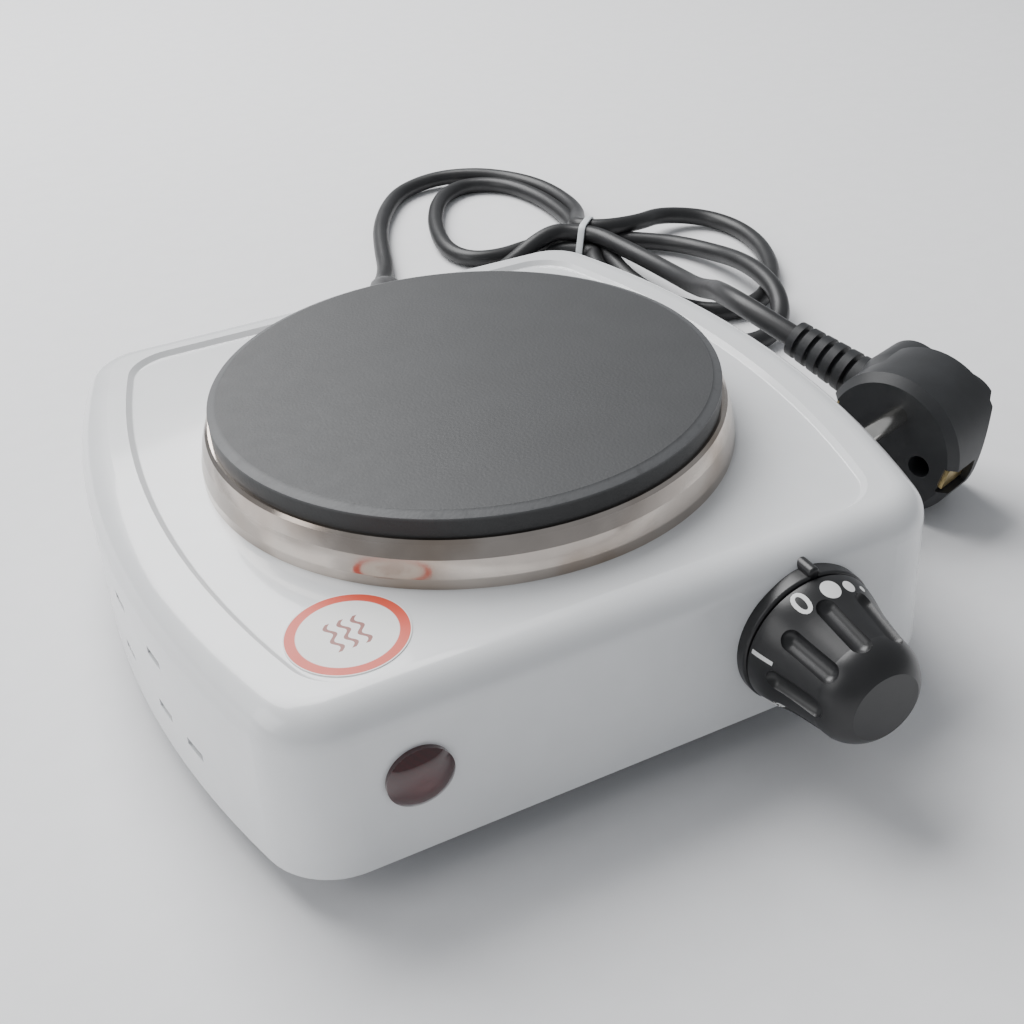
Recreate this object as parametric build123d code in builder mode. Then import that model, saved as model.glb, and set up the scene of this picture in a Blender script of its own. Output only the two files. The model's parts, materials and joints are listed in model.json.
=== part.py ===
from build123d import *
from math import cos, pi, radians, sin, sqrt, tan
import os

# Small single-burner electric hot plate with its mains lead and plug.
# Millimetres, +Z up. The origin is on the table, midway between the knob's face and the case's back.
# The knob looks along -Y, the lead leaves at the back along +Y.

os.makedirs("parts", exist_ok=True)

# ---------------------------------------------------------------- driving sizes
# case: pressed sheet shell, flat front and back, bowed sides
case_front = 76.5        # plate axis to the front wall's foot
case_back = 84.0         # plate axis to the back wall's foot
case_half = 82.3         # half the width at the widest place
case_height = 35.8
case_draft = 2.0         # lean of every wall, degrees
side_radius = 232.0      # bow of the two sides
widest_behind = 3.6      # widest place, behind the plate axis
corner_radius = 15.5
sheet = 1.2
rim_fillet = 7.0
rim_side = 12.3          # foot of the wall to the sunk panel
rim_front = 8.6
rim_back = 10.5
panel_corner = 12.0
panel_drop = 1.2
panel_slope = 45.0

# burner
plate_radius = 55.0
plate_edge = 2.0         # width of the bevel round the top
plate_edge_drop = 0.8
plate_disc = 5.0
plate_rise = 13.2        # cooking face above the case's rim
skirt_outer = 51.5
skirt_wall = 4.5
skirt_height = 11.0
boss_radius = 13.0
boss_drop = 6.0
ring_foot_radius = 58.2
ring_sheet = 0.6
ring_neck = 0.6          # ring's top edge outside the plate's edge
opening_radius = 53.4
coil_wire = 1.6
coil_first = 16.0        # first end of the spiral from the axis
coil_step = 4.0
coil_turns = 6
stud_radius = 3.0

# feet and floor pan
foot_drop = 8.0          # table to the case's bottom edge
pan_sheet = 1.0
pan_recess = 1.0
pan_gap = 0.4
foot_radius = 9.0
foot_x = 54.0
foot_front = 50.0
foot_back = 58.0
tab_x = 73.5
tab_front = 30.0
tab_back = 40.0

# control knob and lamp on the front wall
knob_x = 34.9
knob_z = 24.9
knob_length = 25.0
knob_skirt = 14.5
knob_end = 7.3
bezel_radius = 14.9
bezel_thick = 2.4
knob_gap = 0.5
groove_count = 9
groove_radius = 2.3
shaft_radius = 3.0
running_gap = 0.05
stop_travel = 333.0      # degrees from off to full heat
lamp_x = -45.4
lamp_z = 25.7
lamp_radius = 6.4
lamp_dome = 2.6
lamp_tail = 5.1
fit_gap = 0.1

# mains lead
lead_radius = 3.0
gland_x = 30.0
gland_z = 22.0
gland_tail = 28.0
core_radius = 1.1
lamp_lead_radius = 0.7

# ---------------------------------------------------------------- worked out from them
case_z = foot_drop
rim_z = case_z + case_height
panel_z = rim_z - panel_drop
ceiling_z = panel_z - sheet
top_z = rim_z + plate_rise
lean = tan(radians(case_draft))


def front_wall(height):
    """Plate axis to the front wall's outer face at this height."""
    return case_front - lean * (height - case_z)


def back_wall(height):
    """Plate axis to the back wall's outer face at this height."""
    return case_back - lean * (height - case_z)


knob_reach = front_wall(knob_z) + knob_length
plate_y = (knob_reach - case_back) / 2
axis_y = plate_y
knob_wall_y = plate_y - front_wall(knob_z)
knob_inner_y = knob_wall_y + sheet
lamp_wall_y = plate_y - front_wall(lamp_z)
lamp_inner_y = lamp_wall_y + sheet
gland_wall_y = plate_y + back_wall(gland_z)
gland_inner_y = gland_wall_y - sheet


# ---------------------------------------------------------------- helpers
def outline(front, back, half, bow, corner, height):
    """Outline of the case at a height: flat front and back, bowed sides, round corners."""
    middle_y = plate_y + widest_behind
    front_y = plate_y - front
    back_y = plate_y + back
    front_x = half - bow + sqrt(bow**2 - (front_y - middle_y) ** 2)
    back_x = half - bow + sqrt(bow**2 - (back_y - middle_y) ** 2)
    with BuildSketch(Plane.XY.offset(height)) as shape:
        with BuildLine():
            Line((-front_x, front_y), (front_x, front_y))
            ThreePointArc((front_x, front_y), (half, middle_y), (back_x, back_y))
            Line((back_x, back_y), (-back_x, back_y))
            ThreePointArc((-back_x, back_y), (-half, middle_y), (-front_x, front_y))
        make_face()
        fillet(shape.vertices(), corner)
    return shape.sketch


def inset_outline(inset, height):
    """The case's outline moved in on all sides."""
    return outline(
        case_front - inset, case_back - inset, case_half - inset,
        side_radius - inset, corner_radius - inset, height,
    )


def rod_y(x, z, y_from, y_to, radius, mode=Mode.ADD):
    """A round bar along Y."""
    with Locations((x, (y_from + y_to) / 2, z)):
        Cylinder(radius, abs(y_to - y_from), rotation=(90, 0, 0), mode=mode)


def rod_z(x, y, z_from, z_to, radius, mode=Mode.ADD):
    """A round bar along Z."""
    with Locations((x, y, (z_from + z_to) / 2)):
        Cylinder(radius, abs(z_to - z_from), mode=mode)


def block(x_from, x_to, y_from, y_to, z_from, z_to, mode=Mode.ADD):
    """A box given by its limits."""
    with Locations(((x_from + x_to) / 2, (y_from + y_to) / 2, (z_from + z_to) / 2)):
        Box(x_to - x_from, y_to - y_from, z_to - z_from, mode=mode)


def turned_z(points, x=0.0, y=0.0):
    """A solid turned about a vertical axis from (radius, height) points."""
    with BuildPart() as turned:
        with BuildSketch(Plane.XZ.offset(-y)):
            with Locations((x, 0)):
                Polygon(*points, align=None)
        revolve(axis=Axis((x, y, 0), (0, 0, 1)))
    return turned.part


def wire(points, radius, bend):
    """A round wire along straight runs joined by arcs of one radius."""
    with BuildPart() as run:
        with BuildLine() as route:
            FilletPolyline(*points, radius=bend)
        with BuildSketch(Plane(origin=route.line @ 0, z_dir=route.line % 0)):
            Circle(radius)
        sweep()
    return run.part


def bend_radii(points):
    """For each corner of a cord's route: 0.45 of the shorter run over the tangent of half the turn."""
    radii = []
    for before, corner, after in zip(points, points[1:], points[2:]):
        run_in = Vector(*corner) - Vector(*before)
        run_out = Vector(*after) - Vector(*corner)
        half_turn = radians(run_in.get_angle(run_out)) / 2
        radii.append(0.45 * min(run_in.length, run_out.length) / tan(half_turn))
    return radii


def cord(name, points, radius):
    """A round cord along its route, each corner eased as far as its two runs allow."""
    radii = bend_radii(points)
    with BuildPart() as run:
        with BuildLine() as route:
            FilletPolyline(*points, radius=radii)
        with BuildSketch(Plane(origin=route.line @ 0, z_dir=route.line % 0)):
            Circle(radius)
        sweep()
    length = sum(edge.length for edge in route.edges())
    ideal = length * pi * radius**2
    print(name, "radii", [round(r, 1) for r in radii], "length", round(length, 1))
    print(name, "volume over section x length", round(run.part.volume / ideal, 4))
    return run.part


# ---------------------------------------------------------------- case
with BuildPart() as case_block:
    extrude(inset_outline(0, case_z), amount=case_height, taper=case_draft)
    fillet(case_block.faces().sort_by(Axis.Z)[-1].edges(), rim_fillet)

with BuildPart() as case_core:
    extrude(inset_outline(sheet, case_z), amount=ceiling_z - case_z, taper=case_draft)
    fillet(case_core.faces().sort_by(Axis.Z)[-1].edges(), rim_fillet - sheet)

vent_length = 6.5
vent_height = 1.8
vent_depth = 14.0
vent_upper_z = panel_z - 12.3
vent_lower_z = vent_upper_z - 12.6
vent_upper_y = (-27.0, -6.0, 15.0)
vent_lower_y = (-41.5, -28.0, -6.0, 15.0)

with BuildPart() as case_shell:
    add(case_block.part)
    sunk = outline(
        case_front - rim_front, case_back - rim_back, case_half - rim_side,
        side_radius - rim_side, panel_corner, rim_z,
    )
    extrude(sunk, amount=-panel_drop, taper=panel_slope, mode=Mode.SUBTRACT)
    panel_edges = case_shell.edges().filter_by_position(Axis.Z, panel_z - 0.01, panel_z + 0.01)
    fillet(panel_edges, 0.5)
    add(case_core.part, mode=Mode.SUBTRACT)
    rod_z(0, axis_y, ceiling_z - 5, rim_z + 5, opening_radius, Mode.SUBTRACT)
    rod_y(knob_x, knob_z, knob_wall_y - 5, knob_wall_y + 5, 5.0, Mode.SUBTRACT)
    rod_y(lamp_x, lamp_z, lamp_wall_y - 5, lamp_wall_y + 5, lamp_tail + fit_gap, Mode.SUBTRACT)
    rod_y(gland_x, gland_z, gland_wall_y - 5, gland_wall_y + 5, 5.5, Mode.SUBTRACT)
    for side in (-1, 1):
        for row_z, row_y in ((vent_upper_z, vent_upper_y), (vent_lower_z, vent_lower_y)):
            for y in row_y:
                with Locations((side * case_half, plate_y + y, row_z)):
                    Box(2 * vent_depth, vent_length, vent_height, mode=Mode.SUBTRACT)
case_shell.part.label = "case_shell"
export_step(case_shell.part, "parts/case_shell.step")

# welded tabs that take the floor pan's screws
pan_z = case_z + pan_recess
pan_top = pan_z + pan_sheet
tab_sheet = 1.2
screw_radius = 1.5
tab_places = [(s * tab_x, plate_y + y) for s in (-1, 1) for y in (-tab_front, tab_back)]
with BuildPart() as case_tabs:
    for x, y in tab_places:
        block(x - 7, x + 12, y - 7, y + 7, pan_top, pan_top + tab_sheet) if x > 0 else block(
            x - 12, x + 7, y - 7, y + 7, pan_top, pan_top + tab_sheet)
    add(case_core.part, mode=Mode.INTERSECT)
    for x, y in tab_places:
        rod_z(x, y, pan_z, pan_top + 5, screw_radius, Mode.SUBTRACT)
case_tabs.part.label = "case_tabs"
export_step(case_tabs.part, "parts/case_tabs.step")

# ---------------------------------------------------------------- floor pan, feet and screws
foot_places = [(s * foot_x, plate_y + y) for s in (-1, 1) for y in (-foot_front, foot_back)]
foot_screw = 1.9
earth_x = 52.0
earth_y = plate_y + 24.0
earth_shank = 2.0
pan_slot_length = 22.0
pan_slot_width = 3.0

with BuildPart() as floor_pan:
    extrude(inset_outline(sheet + pan_gap, pan_z), amount=pan_sheet)
    for x, y in foot_places:
        rod_z(x, y, pan_z - 1, pan_top + 1, foot_screw + fit_gap, Mode.SUBTRACT)
    for x, y in tab_places:
        rod_z(x, y, pan_z - 1, pan_top + 1, screw_radius + fit_gap, Mode.SUBTRACT)
    rod_z(earth_x, earth_y, pan_z - 1, pan_top + 1, earth_shank, Mode.SUBTRACT)
    with BuildSketch(Plane.XY.offset(pan_z)):
        with Locations((0, plate_y - 6)):
            with GridLocations(32, 9, 2, 5):
                SlotOverall(pan_slot_length, pan_slot_width)
    extrude(amount=pan_sheet, mode=Mode.SUBTRACT)
floor_pan.part.label = "floor_pan"
export_step(floor_pan.part, "parts/floor_pan.step")

pan_screw_head = 2.8
with BuildPart() as pan_screws:
    for x, y in tab_places:
        rod_z(x, y, pan_z - 1.6, pan_z, pan_screw_head)
        rod_z(x, y, pan_z, pan_top + tab_sheet + 1.5, screw_radius)
pan_screws.part.label = "pan_screws"
export_step(pan_screws.part, "parts/pan_screws.step")

foot_seat = 4.0
with BuildPart() as rubber_feet:
    for x, y in foot_places:
        with BuildSketch(Plane.XY) as sole:
            with Locations((x, y)):
                Circle(foot_radius - 1.0)
        with BuildSketch(Plane.XY.offset(pan_z)) as crown:
            with Locations((x, y)):
                Circle(foot_radius)
        loft([sole.sketch.face(), crown.sketch.face()])
    for x, y in foot_places:
        rod_z(x, y, -1, foot_seat, 4.3, Mode.SUBTRACT)
        rod_z(x, y, 0, pan_z + 1, foot_screw + fit_gap, Mode.SUBTRACT)
rubber_feet.part.label = "rubber_feet"
export_step(rubber_feet.part, "parts/rubber_feet.step")

foot_nut_height = 3.0
with BuildPart() as foot_screws:
    for x, y in foot_places:
        rod_z(x, y, foot_seat - 2.2, foot_seat, 3.8)
        rod_z(x, y, foot_seat, pan_top + foot_nut_height + 0.5, foot_screw)
foot_screws.part.label = "foot_screws"
export_step(foot_screws.part, "parts/foot_screws.step")

with BuildPart() as foot_nuts:
    with BuildSketch(Plane.XY.offset(pan_top)):
        with Locations(*foot_places):
            RegularPolygon(3.5, 6, major_radius=False)
            Circle(foot_screw, mode=Mode.SUBTRACT)
    extrude(amount=foot_nut_height)
foot_nuts.part.label = "foot_nuts"
export_step(foot_nuts.part, "parts/foot_nuts.step")

# ---------------------------------------------------------------- burner
disc_z = top_z - plate_disc
skirt_z = disc_z - skirt_height
skirt_inner = skirt_outer - skirt_wall
hollow_z = disc_z - 1.0
boss_z = hollow_z - boss_drop
stud_top = hollow_z - 0.5
plate_profile = [
    (0, top_z), (plate_radius - plate_edge, top_z), (plate_radius, top_z - plate_edge_drop),
    (plate_radius, disc_z), (skirt_outer, disc_z), (skirt_outer, skirt_z), (skirt_inner, skirt_z),
    (skirt_inner, hollow_z), (boss_radius, hollow_z), (boss_radius, boss_z), (0, boss_z),
]
with BuildPart() as heating_plate:
    add(turned_z(plate_profile, 0, axis_y))
    rod_z(0, axis_y, boss_z - 1, stud_top, stud_radius, Mode.SUBTRACT)
heating_plate.part.label = "heating_plate"
export_step(heating_plate.part, "parts/heating_plate.step")

# polished ring: crimped under the disc, flares down to the panel
neck = plate_radius + ring_neck
ring_profile = [
    (skirt_outer, disc_z), (neck, disc_z), (neck + 0.7, disc_z - 0.6), (neck + 1.7, disc_z - 3.4),
    (ring_foot_radius - 0.1, panel_z + 2.2), (ring_foot_radius, panel_z),
    (ring_foot_radius - ring_sheet, panel_z), (ring_foot_radius - ring_sheet - 0.1, panel_z + 2.0),
    (neck + 1.1, disc_z - 3.5), (neck + 0.1, disc_z - 0.8), (neck - 0.2, disc_z - ring_sheet),
    (skirt_outer, disc_z - ring_sheet),
]
with BuildPart() as plate_ring:
    add(turned_z(ring_profile, 0, axis_y))
plate_ring.part.label = "plate_ring"
export_step(plate_ring.part, "parts/plate_ring.step")


def coil_route(height):
    """Flat spiral of half circles about the burner's axis."""
    ends = [(-1) ** i * (coil_first + coil_step * i) for i in range(coil_turns + 1)]
    with BuildLine(Plane.XY.offset(height)) as spiral:
        for i, (start, end) in enumerate(zip(ends, ends[1:])):
            middle = (start + end) / 2
            reach = abs(start - end) / 2
            side = 1 if i % 2 == 0 else -1
            ThreePointArc((0, axis_y + start), (side * reach, axis_y + middle), (0, axis_y + end))
    return spiral.line


coil_last = coil_first + coil_step * coil_turns
coil_z = boss_z + 1.2
pin_places = [(0, axis_y + coil_first), (0, axis_y + coil_last)]
pin_radius = 1.4
bead_radius = 2.8
cover_sheet = 0.8
cover_z = skirt_z - cover_sheet
bar_sheet = 1.5
bar_drop = 4.4
bar_top = ceiling_z - bar_drop
bar_z = bar_top - bar_sheet
shield_sheet = 0.8
shield_z = bar_z - shield_sheet
pin_bottom = shield_z - 4.7

coil_path = coil_route(coil_z)
with BuildPart() as heating_coil:
    with BuildSketch(Plane(origin=coil_path @ 0, z_dir=coil_path % 0)):
        Circle(coil_wire)
    sweep(path=coil_path)
heating_coil.part.label = "heating_coil"
export_step(heating_coil.part, "parts/heating_coil.step")

# moulded insulation: the coil lies in a groove open to below
groove_half = coil_wire + fit_gap
insulation_z = boss_z - 0.5
with BuildPart() as groove_cut:
    with BuildSketch(Plane(origin=coil_path @ 0, x_dir=(0, 0, 1), z_dir=coil_path % 0)):
        with Locations((-1.0, 0)):
            Rectangle(2 * groove_half + 2.0, 2 * groove_half)
    sweep(path=coil_path)
with BuildPart() as coil_insulation:
    with BuildSketch(Plane.XY.offset(insulation_z)):
        with Locations((0, axis_y)):
            Circle(skirt_inner - fit_gap)
            Circle(boss_radius + fit_gap, mode=Mode.SUBTRACT)
    extrude(amount=hollow_z - insulation_z)
    add(groove_cut.part, mode=Mode.SUBTRACT)
    for x, y in pin_places:
        rod_z(x, y, insulation_z - 1, coil_z + 3, groove_half, Mode.SUBTRACT)
coil_insulation.part.label = "coil_insulation"
export_step(coil_insulation.part, "parts/coil_insulation.step")

with BuildPart() as element_cover:
    rod_z(0, axis_y, cover_z, skirt_z, skirt_outer - 0.3)
    rod_z(0, axis_y, cover_z - 1, skirt_z + 1, stud_radius + fit_gap, Mode.SUBTRACT)
    for x, y in pin_places:
        rod_z(x, y, cover_z - 1, skirt_z + 1, bead_radius - 0.6, Mode.SUBTRACT)
element_cover.part.label = "element_cover"
export_step(element_cover.part, "parts/element_cover.step")

with BuildPart() as element_pins:
    for x, y in pin_places:
        rod_z(x, y, pin_bottom, coil_z - coil_wire, pin_radius)
element_pins.part.label = "element_pins"
export_step(element_pins.part, "parts/element_pins.step")

with BuildPart() as pin_beads:
    for x, y in pin_places:
        rod_z(x, y, cover_z - 2.6, cover_z, bead_radius)
        rod_z(x, y, cover_z, skirt_z, bead_radius - 0.7)
        rod_z(x, y, cover_z - 3, skirt_z + 1, pin_radius, Mode.SUBTRACT)
pin_beads.part.label = "pin_beads"
export_step(pin_beads.part, "parts/pin_beads.step")

# clamp bar: its two ends press up under the panel, its middle is drawn to the stud
bar_half = 10.0
bar_end = opening_radius + 9.0
bar_step = opening_radius + 1.0
with BuildPart() as clamp_bar:
    with BuildSketch(Plane.XZ.offset(-axis_y)) as bar_side:
        with BuildLine():
            Polyline(
                (-bar_end, ceiling_z), (-bar_step, ceiling_z), (-bar_step + bar_drop, bar_top),
                (bar_step - bar_drop, bar_top), (bar_step, ceiling_z), (bar_end, ceiling_z),
                (bar_end, ceiling_z - bar_sheet), (bar_step + 0.6, ceiling_z - bar_sheet),
                (bar_step + 0.6 - bar_drop, bar_z), (-bar_step - 0.6 + bar_drop, bar_z),
                (-bar_step - 0.6, ceiling_z - bar_sheet), (-bar_end, ceiling_z - bar_sheet),
                close=True,
            )
        make_face()
    extrude(amount=bar_half, both=True)
    rod_z(0, axis_y, bar_z - 1, bar_top + 1, stud_radius + fit_gap, Mode.SUBTRACT)
clamp_bar.part.label = "clamp_bar"
export_step(clamp_bar.part, "parts/clamp_bar.step")

# heat shield hangs under the clamp bar
shield_radius = 46.0
with BuildPart() as heat_shield:
    rod_z(0, axis_y, shield_z, bar_z, shield_radius)
    rod_z(0, axis_y, shield_z - 1, bar_z + 1, stud_radius + fit_gap, Mode.SUBTRACT)
    for x, y in pin_places:
        rod_z(x, y, shield_z - 1, bar_z + 1, 4.0, Mode.SUBTRACT)
heat_shield.part.label = "heat_shield"
export_step(heat_shield.part, "parts/heat_shield.step")

nut_height = 5.0
washer_sheet = 1.0
nut_z = shield_z - washer_sheet - nut_height
with BuildPart() as centre_stud:
    rod_z(0, axis_y, nut_z - 1.5, stud_top, stud_radius)
centre_stud.part.label = "centre_stud"
export_step(centre_stud.part, "parts/centre_stud.step")

with BuildPart() as stud_washer:
    rod_z(0, axis_y, shield_z - washer_sheet, shield_z, 6.5)
    rod_z(0, axis_y, shield_z - 3, shield_z + 1, stud_radius + fit_gap, Mode.SUBTRACT)
stud_washer.part.label = "stud_washer"
export_step(stud_washer.part, "parts/stud_washer.step")

with BuildPart() as stud_nut:
    with BuildSketch(Plane.XY.offset(nut_z)):
        with Locations((0, axis_y)):
            RegularPolygon(5.0, 6, major_radius=False)
            Circle(stud_radius, mode=Mode.SUBTRACT)
    extrude(amount=nut_height)
stud_nut.part.label = "stud_nut"
export_step(stud_nut.part, "parts/stud_nut.step")

# ---------------------------------------------------------------- thermostat
# distances named *_in run inwards from the front wall's inner face at the knob's height
bush_radius = 4.8
bush_out = 5.5
frame_in = 1.6
flange_in = 3.0
bush_tail_in = 6.4
collar_in = bush_tail_in + 0.1
collar_out_in = collar_in + 1.5
tip_in = 14.0
blade_in = tip_in + 0.1
blade_sheet = 0.4
contact_gap = 2.5
second_blade_in = blade_in + blade_sheet + contact_gap
bimetal_in = second_blade_in + blade_sheet + contact_gap
bimetal_sheet = 0.8
rivet_in = bimetal_in + bimetal_sheet + 0.9
stack_x = knob_x - 19.0
stack_radius = 4.2
rivet_radius = 1.6
stop_radius = 5.0
stop_pin = 0.5
half_gap = (360.0 - stop_travel) / 2
stop_angle = 180.0


def inwards(distance):
    """Y of a point this far inwards of the front wall, at the knob."""
    return knob_inner_y + distance


def round_knob(radius, degrees):
    """X and Z of a point about the knob's axis, degrees clockwise from the top as seen from in front."""
    angle = radians(degrees)
    return knob_x + radius * sin(angle), knob_z + radius * cos(angle)


with BuildPart() as thermostat_frame:
    block(stack_x - 6, knob_x + 11, inwards(-2), inwards(frame_in), knob_z - 11, knob_z + 11)
    add(case_core.part, mode=Mode.INTERSECT)
    rod_y(knob_x, knob_z, inwards(-3), inwards(5), bush_radius + fit_gap, Mode.SUBTRACT)
    rod_y(stack_x, knob_z, inwards(-3), inwards(5), rivet_radius, Mode.SUBTRACT)
thermostat_frame.part.label = "thermostat_frame"
export_step(thermostat_frame.part, "parts/thermostat_frame.step")

with BuildPart() as thermostat_bush:
    rod_y(knob_x, knob_z, knob_wall_y - bush_out, inwards(frame_in), bush_radius)
    rod_y(knob_x, knob_z, inwards(frame_in), inwards(flange_in), 7.0)
    rod_y(knob_x, knob_z, inwards(flange_in), inwards(bush_tail_in), 4.2)
    peg_x, peg_z = round_knob(stop_radius, stop_angle + half_gap)
    rod_y(peg_x, peg_z, inwards(flange_in - 0.2), inwards(collar_in - 0.4), stop_pin)
    rod_y(knob_x, knob_z, knob_wall_y - bush_out - 1, inwards(bush_tail_in + 1),
          shaft_radius + running_gap, Mode.SUBTRACT)
thermostat_bush.part.label = "thermostat_bush"
export_step(thermostat_bush.part, "parts/thermostat_bush.step")

bush_nut_reach = 2.6
with BuildPart() as bush_nut:
    with BuildSketch(Plane.XZ.offset(-knob_wall_y - 2)):
        with Locations((knob_x, knob_z)):
            RegularPolygon(6.5, 6, major_radius=False)
            Circle(bush_radius, mode=Mode.SUBTRACT)
    extrude(amount=bush_nut_reach + 2)
    add(case_block.part, mode=Mode.SUBTRACT)
bush_nut.part.label = "bush_nut"
export_step(bush_nut.part, "parts/bush_nut.step")

hub_start = 8.0
bore_end = 20.0
flat_offset = 2.3
with BuildPart() as control_shaft:
    rod_y(knob_x, knob_z, knob_wall_y - bore_end + 0.5, inwards(collar_in), shaft_radius)
    block(knob_x - 4, knob_x + 4, knob_wall_y - bore_end, knob_wall_y - hub_start,
          knob_z + flat_offset, knob_z + 4, Mode.SUBTRACT)
    rod_y(knob_x, knob_z, inwards(collar_in), inwards(collar_out_in), 5.7)
    rod_y(knob_x, knob_z, inwards(collar_out_in), inwards(tip_in), 1.5)
    pin_x, pin_z = round_knob(stop_radius, stop_angle)
    rod_y(pin_x, pin_z, inwards(flange_in + 0.4), inwards(collar_in + 0.2), stop_pin)
control_shaft.part.label = "control_shaft"
export_step(control_shaft.part, "parts/control_shaft.step")

with BuildPart() as ceramic_spacers:
    for start, end in (
        (frame_in, blade_in), (blade_in + blade_sheet, second_blade_in),
        (second_blade_in + blade_sheet, bimetal_in),
    ):
        rod_y(stack_x, knob_z, inwards(start), inwards(end), stack_radius)
    rod_y(stack_x, knob_z, inwards(0), inwards(rivet_in), rivet_radius, Mode.SUBTRACT)
ceramic_spacers.part.label = "ceramic_spacers"
export_step(ceramic_spacers.part, "parts/ceramic_spacers.step")

terminal_x = stack_x - 16.0
contact_x = knob_x - 7.0
with BuildPart() as contact_blades:
    block(terminal_x, knob_x + 5, inwards(blade_in), inwards(blade_in + blade_sheet),
          knob_z - 3.5, knob_z + 3.5)
    block(terminal_x, contact_x + 3, inwards(second_blade_in), inwards(second_blade_in + blade_sheet),
          knob_z - 3.5, knob_z + 3.5)
    rod_y(stack_x, knob_z, inwards(0), inwards(rivet_in), rivet_radius, Mode.SUBTRACT)
contact_blades.part.label = "contact_blades"
export_step(contact_blades.part, "parts/contact_blades.step")

with BuildPart() as contact_points:
    rod_y(contact_x, knob_z, inwards(blade_in + blade_sheet), inwards(blade_in + 1.6), 1.7)
    rod_y(contact_x, knob_z, inwards(blade_in + 1.7), inwards(second_blade_in), 1.7)
contact_points.part.label = "contact_points"
export_step(contact_points.part, "parts/contact_points.step")

with BuildPart() as bimetal_strip:
    block(stack_x - 6, knob_x + 8, inwards(bimetal_in), inwards(bimetal_in + bimetal_sheet),
          knob_z - 5, knob_z + 5)
    rod_y(stack_x, knob_z, inwards(0), inwards(rivet_in), rivet_radius, Mode.SUBTRACT)
bimetal_strip.part.label = "bimetal_strip"
export_step(bimetal_strip.part, "parts/bimetal_strip.step")

with BuildPart() as stack_rivet:
    rod_y(stack_x, knob_z, inwards(0.8), inwards(bimetal_in + bimetal_sheet), rivet_radius)
    rod_y(stack_x, knob_z, inwards(bimetal_in + bimetal_sheet), inwards(rivet_in), 3.0)
stack_rivet.part.label = "stack_rivet"
export_step(stack_rivet.part, "parts/stack_rivet.step")

# ---------------------------------------------------------------- knob
bezel_hole = 11.0
nub_radius = 1.3
with BuildPart() as knob_bezel:
    rod_y(knob_x, knob_z, knob_wall_y - bezel_thick, knob_wall_y + 2, bezel_radius)
    with Locations((knob_x, knob_wall_y - bezel_thick / 2 + 1, knob_z + bezel_radius + 0.3)):
        Cylinder(nub_radius, bezel_thick + 2, rotation=(90, 0, 0))
    fillet(knob_bezel.faces().sort_by(Axis.Y)[0].edges(), 0.6)
    rod_y(knob_x, knob_z, knob_wall_y - 5, knob_wall_y + 5, bezel_hole, Mode.SUBTRACT)
    add(case_block.part, mode=Mode.SUBTRACT)
knob_bezel.part.label = "knob_bezel"
export_step(knob_bezel.part, "parts/knob_bezel.step")

knob_start = bezel_thick + knob_gap
knob_wall = 2.2


def knob_point(radius, reach):
    """A point of the knob's section: radius from its axis, reach out from the front wall."""
    return knob_x + radius, knob_wall_y - reach


groove_from = knob_point(12.6 + groove_radius - 1.2, 9.6)
groove_to = knob_point(10.9 + groove_radius - 1.2, 18.6)
knob_axis = Axis((knob_x, knob_wall_y, knob_z), (0, 1, 0))
groove_start_angle = -10.0 - 90.0

with BuildPart() as finger_groove:
    with BuildLine() as groove_line:
        Line((*groove_from, knob_z), (*groove_to, knob_z))
    with BuildSketch(Plane(origin=groove_line.line @ 0, z_dir=groove_line.line % 0)):
        Circle(groove_radius)
    sweep()
    with Locations((*groove_from, knob_z), (*groove_to, knob_z)):
        Sphere(groove_radius)

with BuildPart() as knob:
    with BuildSketch(Plane.XY.offset(knob_z)):
        with BuildLine():
            Spline(
                knob_point(knob_skirt, knob_start), knob_point(knob_skirt - 0.4, knob_start + 2.4),
                knob_point(knob_skirt - 1.5, knob_start + 6.0), knob_point(knob_skirt - 2.5, 13.5),
                knob_point(knob_skirt - 3.3, 18.5),
            )
            ThreePointArc(
                knob_point(knob_skirt - 3.3, 18.5), knob_point(knob_end + 2.4, knob_length - 2.1),
                knob_point(knob_end, knob_length),
            )
            Line(knob_point(knob_end, knob_length), knob_point(0, knob_length))
            Line(knob_point(0, knob_length), knob_point(0, knob_start))
            Line(knob_point(0, knob_start), knob_point(knob_skirt, knob_start))
        make_face()
    revolve(axis=knob_axis)
    with BuildSketch(Plane.XY.offset(knob_z)):
        with BuildLine():
            Polyline(
                knob_point(0, knob_start), knob_point(knob_skirt - knob_wall, knob_start),
                knob_point(knob_skirt - knob_wall - 1.4, knob_start + 6.0),
                knob_point(knob_skirt - knob_wall - 3.2, 17.5), knob_point(8.4, 21.0),
                knob_point(5.6, 21.0), knob_point(5.6, hub_start), knob_point(0, hub_start),
                close=True,
            )
        make_face()
    revolve(axis=knob_axis, mode=Mode.SUBTRACT)
    with BuildSketch(Plane.XZ.offset(-knob_wall_y + hub_start)):
        with Locations((knob_x, knob_z)):
            Circle(shaft_radius + 0.02)
        with Locations((knob_x, knob_z + flat_offset + 0.02 + 2)):
            Rectangle(8, 4, mode=Mode.SUBTRACT)
    extrude(amount=bore_end - hub_start, mode=Mode.SUBTRACT)
    for k in range(groove_count):
        turned = finger_groove.part.rotate(knob_axis, groove_start_angle + k * 360 / groove_count)
        add(turned, mode=Mode.SUBTRACT)
knob.part.label = "knob"
export_step(knob.part, "parts/knob.step")

with BuildPart() as knob_clip:
    rod_y(knob_x, knob_z, knob_wall_y - 9.5, knob_wall_y - 14.0, 6.2)
    rod_y(knob_x, knob_z, knob_wall_y - 9.0, knob_wall_y - 15.0, 5.6, Mode.SUBTRACT)
    block(knob_x - 1.5, knob_x + 1.5, knob_wall_y - 15, knob_wall_y - 9, knob_z - 8, knob_z,
          Mode.SUBTRACT)
knob_clip.part.label = "knob_clip"
export_step(knob_clip.part, "parts/knob_clip.step")

# ---------------------------------------------------------------- indicator lamp
lamp_cavity = 3.4
lens_in = 8.0
holder_in = 16.0


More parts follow.
